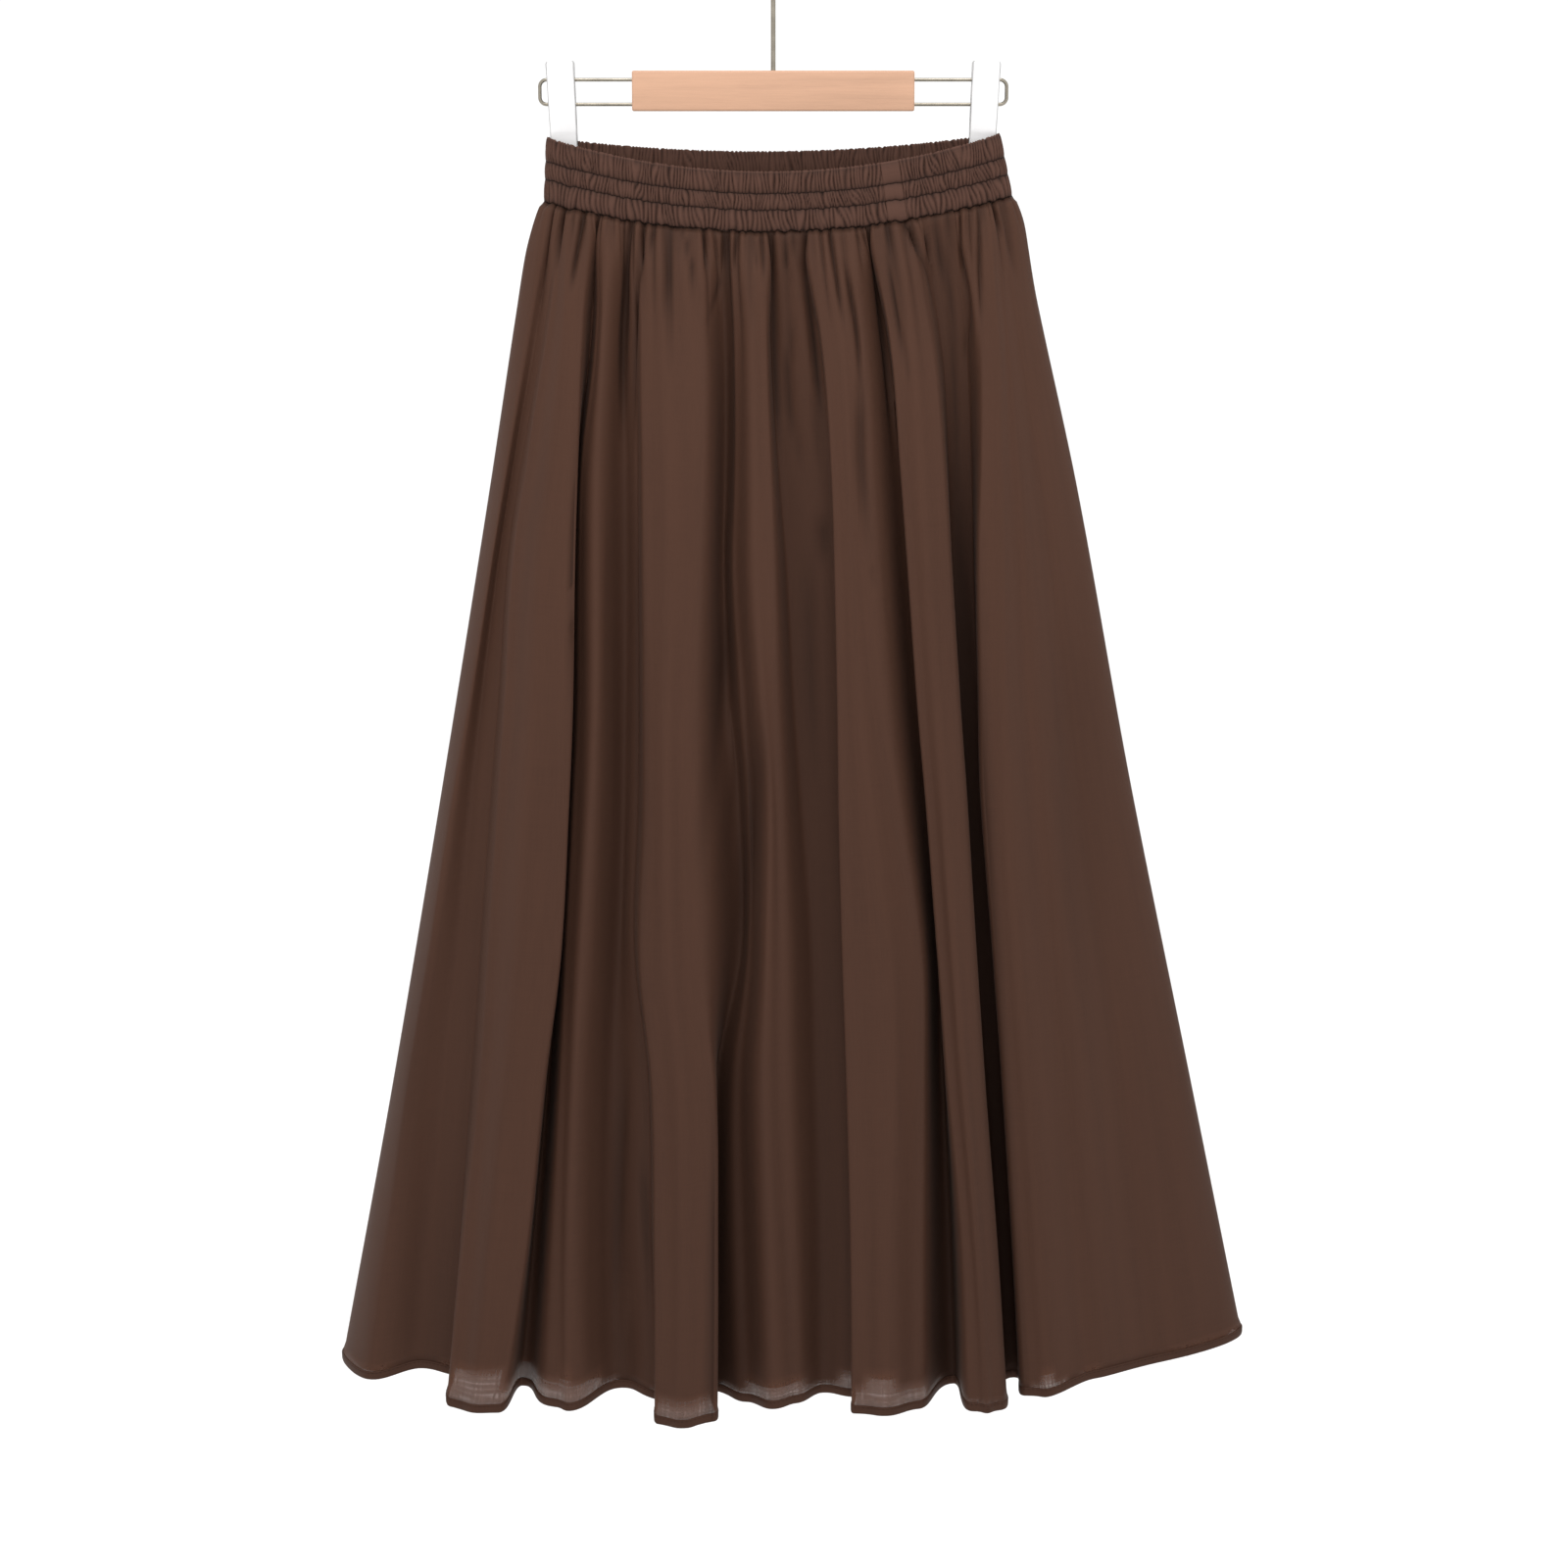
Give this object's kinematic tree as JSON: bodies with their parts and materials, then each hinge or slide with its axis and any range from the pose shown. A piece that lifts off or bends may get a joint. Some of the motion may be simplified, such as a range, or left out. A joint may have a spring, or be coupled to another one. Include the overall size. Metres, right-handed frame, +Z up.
{
  "type": "a-line midi skirt on a clip hanger",
  "caption": "Gathered A-line midi skirt with a shirred elastic waistband and a sheer lined hem, clipped by its back waistband to a wood and wire skirt hanger with a hook to hang it on a rail.",
  "frame": {"origin": "inner crown of the hanger's hook, where it rests on a rail", "axes": "+Z up, -Y out of the skirt's front, +X to the right of someone looking at the front"},
  "size_m": [0.6316, 0.1749, 1.0022],
  "materials": {
    "brown_voile": "plain-woven cotton voile, thin and slightly silky, dark brown",
    "brown_lining": "matte opaque woven lining, dark brown",
    "pale_wood": "smooth sanded pale wood with a faint grain",
    "bright_steel": "bright plated wire",
    "white_plastic": "smooth white moulded plastic"
  },
  "bodies": {
    "root": {"skirt_front": "brown_voile", "skirt_back": "brown_voile", "hem_front": "brown_voile", "hem_back": "brown_voile", "waistband": "brown_voile", "waistband_join": "brown_voile", "lining_front": "brown_lining", "lining_back": "brown_lining", "hanger_bar": "pale_wood", "hook": "bright_steel", "rail_left": "bright_steel", "rail_right": "bright_steel", "clip_left_front": "white_plastic", "clip_left_back": "white_plastic", "clip_left_spring": "bright_steel", "clip_right_front": "white_plastic", "clip_right_back": "white_plastic", "clip_right_spring": "bright_steel"}
  },
  "joints": []
}
